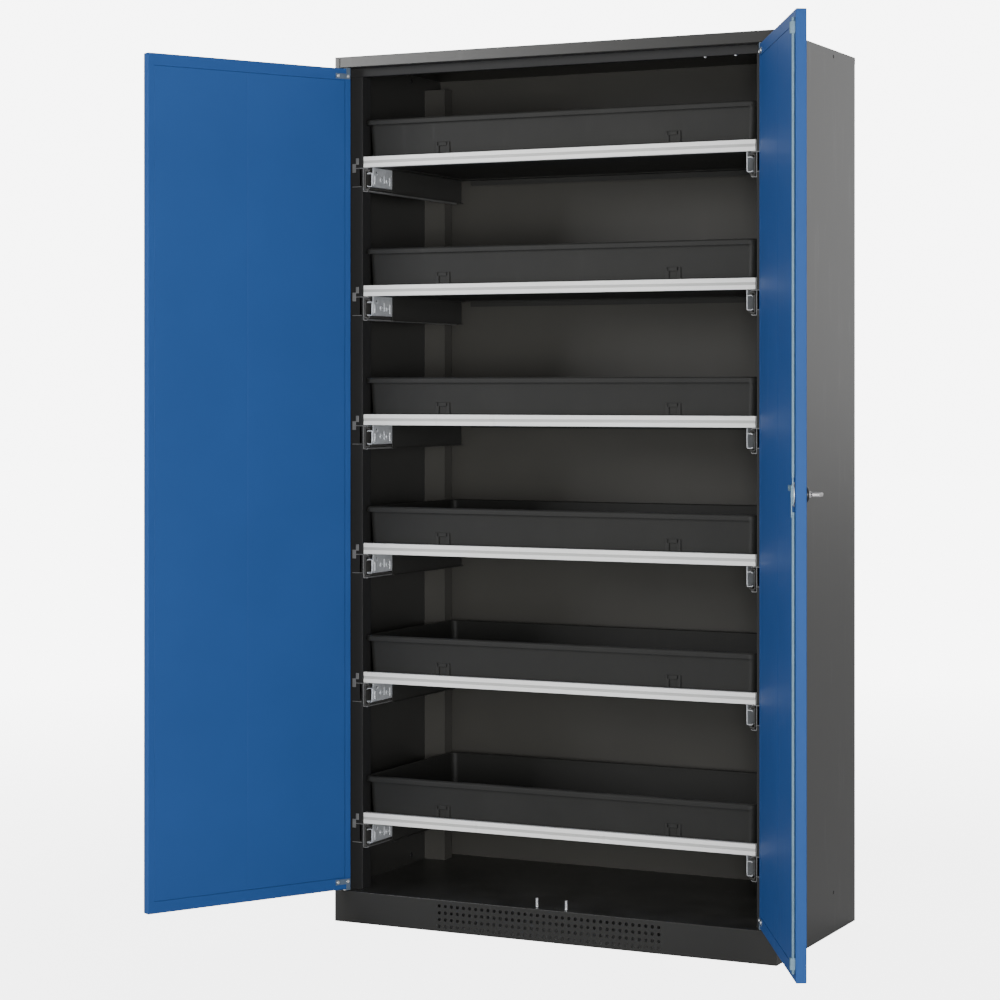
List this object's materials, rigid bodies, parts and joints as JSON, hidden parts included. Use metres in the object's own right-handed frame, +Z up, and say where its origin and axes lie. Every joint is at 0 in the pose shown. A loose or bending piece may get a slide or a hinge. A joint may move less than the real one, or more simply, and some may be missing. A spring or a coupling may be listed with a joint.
{
  "type": "reagent drawer cabinet",
  "caption": "Tall free-standing steel cabinet with two wing doors, pull-out trays on telescopic slides behind them, a perforated plinth and a turning knob that works two lock rods.",
  "frame": {"origin": "centre of the carcass footprint, on the floor that the cabinet stands on", "axes": "+Z up, -Y towards the front, +X to the right as seen from the front"},
  "size_m": [1.5207, 0.9671, 1.95],
  "materials": {
    "carcass_paint": "fine textured powder coat",
    "zinc_plate": "zinc plated",
    "tray_grey": "matt",
    "carrier_paint": "satin powder coat",
    "rail_white": "satin powder coat",
    "door_paint": "fine textured powder coat",
    "black_plastic": "matt"
  },
  "bodies": {
    "carcass": {"side_panel_left": "carcass_paint", "side_panel_right": "carcass_paint", "back_panel": "carcass_paint", "top_panel": "carcass_paint", "floor_panel": "carcass_paint", "plinth_panel": "carcass_paint", "floor_bearers": "carcass_paint", "front_posts": "carcass_paint", "rear_posts": "carcass_paint", "levelling_feet": "zinc_plate", "frame_pins": "zinc_plate", "cabinet_slides_1": "zinc_plate", "cabinet_slides_2": "zinc_plate", "cabinet_slides_3": "zinc_plate", "cabinet_slides_4": "zinc_plate", "cabinet_slides_5": "zinc_plate", "cabinet_slides_6": "zinc_plate"},
    "door_left": {"door_left": "door_paint", "inner_panel_left": "door_paint", "hinge_plates_left": "zinc_plate"},
    "door_right": {"door_right": "door_paint", "inner_panel_right": "door_paint", "hinge_plates_right": "zinc_plate", "rod_guides": "zinc_plate", "lock_case": "zinc_plate", "escutcheon": "black_plastic"},
    "lock": {"turn_handle": "zinc_plate", "lock_cam": "zinc_plate"},
    "rod_upper": {"lock_rod_upper": "zinc_plate"},
    "rod_lower": {"lock_rod_lower": "zinc_plate"},
    "drawer_1": {"tray_slides_1": "zinc_plate", "carrier_1": "carrier_paint", "front_rail_1": "rail_white", "tray_1": "tray_grey"},
    "middle_1": {"middle_slides_1": "zinc_plate"},
    "drawer_2": {"tray_slides_2": "zinc_plate", "carrier_2": "carrier_paint", "front_rail_2": "rail_white", "tray_2": "tray_grey"},
    "middle_2": {"middle_slides_2": "zinc_plate"},
    "drawer_3": {"tray_slides_3": "zinc_plate", "carrier_3": "carrier_paint", "front_rail_3": "rail_white", "tray_3": "tray_grey"},
    "middle_3": {"middle_slides_3": "zinc_plate"},
    "drawer_4": {"tray_slides_4": "zinc_plate", "carrier_4": "carrier_paint", "front_rail_4": "rail_white", "tray_4": "tray_grey"},
    "middle_4": {"middle_slides_4": "zinc_plate"},
    "drawer_5": {"tray_slides_5": "zinc_plate", "carrier_5": "carrier_paint", "front_rail_5": "rail_white", "tray_5": "tray_grey"},
    "middle_5": {"middle_slides_5": "zinc_plate"},
    "drawer_6": {"tray_slides_6": "zinc_plate", "carrier_6": "carrier_paint", "front_rail_6": "rail_white", "tray_6": "tray_grey"},
    "middle_6": {"middle_slides_6": "zinc_plate"}
  },
  "joints": [
    {"name": "door_left_hinge", "type": "hinge", "parent": "carcass", "child": "door_left", "pos_m": [-0.505, -0.255, 1], "axis": [0, 0, -1], "range_deg": [-119, 0]},
    {"name": "door_right_hinge", "type": "hinge", "parent": "carcass", "child": "door_right", "pos_m": [0.505, -0.255, 1], "axis": [0, 0, 1], "range_deg": [-118, 0]},
    {"name": "lock_turn", "type": "hinge", "parent": "door_right", "child": "lock", "pos_m": [0.73312, -0.67338, 1], "axis": [0.8829, 0.4695, 0], "range_deg": [-90, 0]},
    {"name": "rod_upper_slide", "type": "slide", "parent": "door_right", "child": "rod_upper", "axis": [0, 0, 1], "range_m": [0, 0.02404]},
    {"name": "rod_lower_slide", "type": "slide", "parent": "door_right", "child": "rod_lower", "axis": [0, 0, -1], "range_m": [0, 0.0241]},
    {"name": "drawer_1_slide", "type": "slide", "parent": "carcass", "child": "drawer_1", "axis": [0, -1, 0], "range_m": [0, 0.4]},
    {"name": "middle_1_slide", "type": "slide", "parent": "carcass", "child": "middle_1", "axis": [0, -1, 0], "range_m": [0, 0.2]},
    {"name": "drawer_2_slide", "type": "slide", "parent": "carcass", "child": "drawer_2", "axis": [0, -1, 0], "range_m": [0, 0.4]},
    {"name": "middle_2_slide", "type": "slide", "parent": "carcass", "child": "middle_2", "axis": [0, -1, 0], "range_m": [0, 0.2]},
    {"name": "drawer_3_slide", "type": "slide", "parent": "carcass", "child": "drawer_3", "axis": [0, -1, 0], "range_m": [0, 0.4]},
    {"name": "middle_3_slide", "type": "slide", "parent": "carcass", "child": "middle_3", "axis": [0, -1, 0], "range_m": [0, 0.2]},
    {"name": "drawer_4_slide", "type": "slide", "parent": "carcass", "child": "drawer_4", "axis": [0, -1, 0], "range_m": [0, 0.4]},
    {"name": "middle_4_slide", "type": "slide", "parent": "carcass", "child": "middle_4", "axis": [0, -1, 0], "range_m": [0, 0.2]},
    {"name": "drawer_5_slide", "type": "slide", "parent": "carcass", "child": "drawer_5", "axis": [0, -1, 0], "range_m": [0, 0.4]},
    {"name": "middle_5_slide", "type": "slide", "parent": "carcass", "child": "middle_5", "axis": [0, -1, 0], "range_m": [0, 0.2]},
    {"name": "drawer_6_slide", "type": "slide", "parent": "carcass", "child": "drawer_6", "axis": [0, -1, 0], "range_m": [0, 0.4]},
    {"name": "middle_6_slide", "type": "slide", "parent": "carcass", "child": "middle_6", "axis": [0, -1, 0], "range_m": [0, 0.2]}
  ],
  "couplings": [
    {"joint": "lock_turn", "follows": "rod_upper_slide", "rad_per_m": -65.337},
    {"joint": "rod_lower_slide", "follows": "rod_upper_slide", "ratio": 1},
    {"joint": "middle_1_slide", "follows": "drawer_1_slide", "ratio": 0.5},
    {"joint": "middle_2_slide", "follows": "drawer_2_slide", "ratio": 0.5},
    {"joint": "middle_3_slide", "follows": "drawer_3_slide", "ratio": 0.5},
    {"joint": "middle_4_slide", "follows": "drawer_4_slide", "ratio": 0.5},
    {"joint": "middle_5_slide", "follows": "drawer_5_slide", "ratio": 0.5},
    {"joint": "middle_6_slide", "follows": "drawer_6_slide", "ratio": 0.5}
  ]
}
